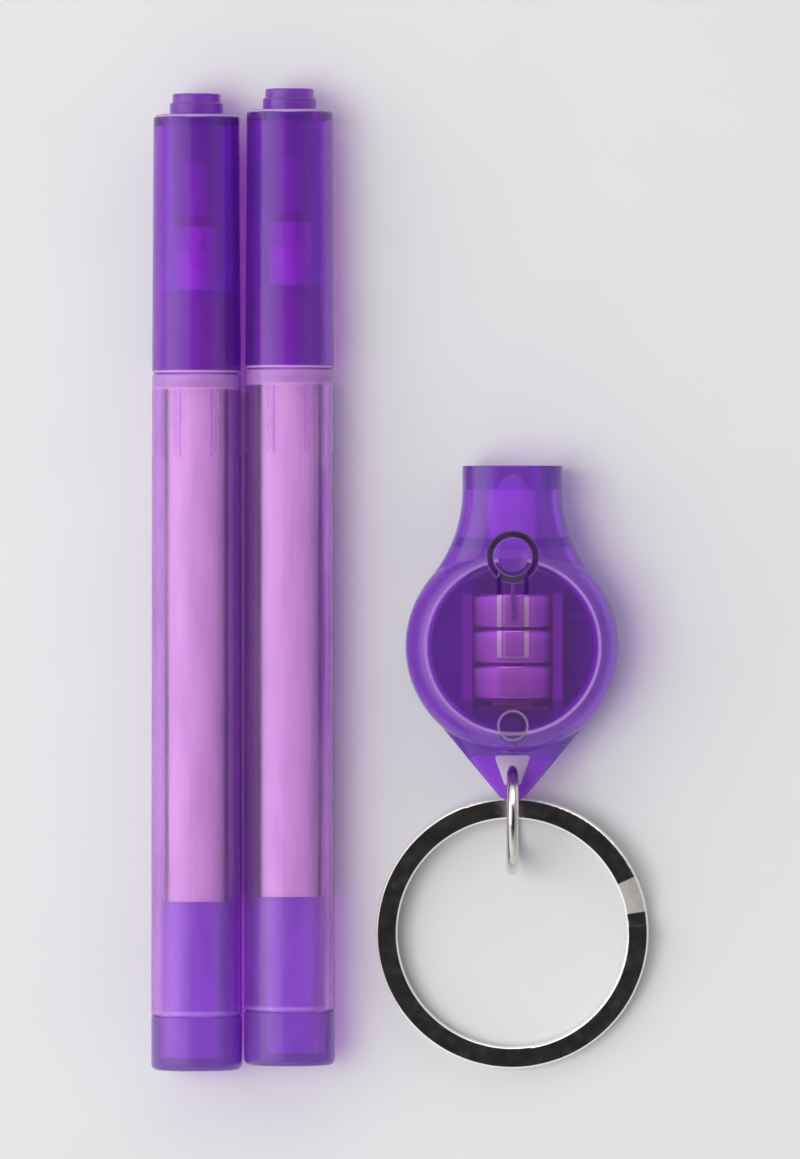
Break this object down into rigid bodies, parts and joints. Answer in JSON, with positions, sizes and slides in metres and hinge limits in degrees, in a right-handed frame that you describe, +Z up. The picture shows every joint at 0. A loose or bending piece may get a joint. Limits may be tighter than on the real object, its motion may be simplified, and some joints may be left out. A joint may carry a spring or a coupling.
{
  "type": "invisible ink pen set",
  "caption": "Capped felt-tip invisible-ink pens in clear violet plastic, with a teardrop ultraviolet key torch on a link and split ring.",
  "frame": {"origin": "middle of the set's box, on the surface that the pens, the torch and the ring lie on", "axes": "+Y along the pens, from their tails to their caps; +Z up, out of the torch's face; +X from the pens towards the torch"},
  "size_m": [0.0502, 0.0992, 0.0111],
  "materials": {
    "barrel_violet": "clear violet injection-moulded plastic, glossy",
    "plug_violet": "clear violet injection-moulded plastic, glossy",
    "cap_violet": "clear violet injection-moulded plastic, glossy",
    "ink_fibre": "bonded polyester fibre, matt",
    "nib_fibre": "bonded fibre, matt",
    "film_clear": "thin clear film",
    "case_violet": "clear violet injection-moulded plastic, glossy",
    "lamp_clear": "clear cast epoxy",
    "lead_tin": "tinned steel wire",
    "cell_steel": "nickel-plated pressed steel",
    "gasket_nylon": "dark moulded seal",
    "contact_strip": "nickel-plated spring strip",
    "screw_steel": "zinc-plated steel",
    "ring_nickel": "bright nickel plate"
  },
  "bodies": {
    "pen_1": {"pen_1_barrel": "barrel_violet", "pen_1_end_plug": "plug_violet", "pen_1_reservoir_core": "ink_fibre", "pen_1_reservoir_film": "film_clear", "pen_1_nib": "nib_fibre"},
    "pen_1_cap": {"pen_1_cap": "cap_violet", "pen_1_cap_plug": "cap_violet"},
    "pen_2": {"pen_2_barrel": "barrel_violet", "pen_2_end_plug": "plug_violet", "pen_2_reservoir_core": "ink_fibre", "pen_2_reservoir_film": "film_clear", "pen_2_nib": "nib_fibre"},
    "pen_2_cap": {"pen_2_cap": "cap_violet", "pen_2_cap_plug": "cap_violet"},
    "torch": {"torch_front_case": "case_violet", "torch_rear_case": "case_violet", "torch_led_lens": "lamp_clear", "torch_led_anode_lead": "lead_tin", "torch_led_cathode_lead": "lead_tin", "torch_end_contact": "contact_strip", "torch_case_screw": "screw_steel", "cell_1_can": "cell_steel", "cell_1_gasket": "gasket_nylon", "cell_1_negative_cap": "cell_steel", "cell_2_can": "cell_steel", "cell_2_gasket": "gasket_nylon", "cell_2_negative_cap": "cell_steel", "cell_3_can": "cell_steel", "cell_3_gasket": "gasket_nylon", "cell_3_negative_cap": "cell_steel"},
    "press_button": {"torch_press_button": "case_violet"},
    "key_link": {"key_link": "ring_nickel"},
    "split_ring": {"split_ring": "ring_nickel"}
  },
  "joints": [
    {"name": "pen_1_cap_pull", "type": "slide", "parent": "pen_1", "child": "pen_1_cap", "axis": [0, 1, 0], "range_m": [0, 0.03]},
    {"name": "pen_2_lift", "type": "slide", "parent": "pen_1", "child": "pen_2", "axis": [0, 0, 1], "range_m": [0, 0.03]},
    {"name": "pen_2_cap_pull", "type": "slide", "parent": "pen_2", "child": "pen_2_cap", "axis": [0, 1, 0], "range_m": [0, 0.03]},
    {"name": "torch_lift", "type": "slide", "parent": "pen_1", "child": "torch", "axis": [0, 0, 1], "range_m": [0, 0.03]},
    {"name": "button_press", "type": "hinge", "parent": "torch", "child": "press_button", "pos_m": [0.01135, -0.00785, 0.01013], "axis": [-1, 0, 0], "range_deg": [0, 2.5], "stiffness_Nm_per_rad": 0.4, "deforming": ["torch_led_anode_lead"]},
    {"name": "link_swing", "type": "hinge", "parent": "torch", "child": "key_link", "pos_m": [0.01135, -0.02155, 0.0056], "axis": [-1, 0, 0], "range_deg": [-45, 45]},
    {"name": "ring_swing", "type": "hinge", "parent": "key_link", "child": "split_ring", "pos_m": [0.01135, -0.02305, 0.00296], "axis": [-1, 0, 0], "range_deg": [-60, 80]}
  ]
}
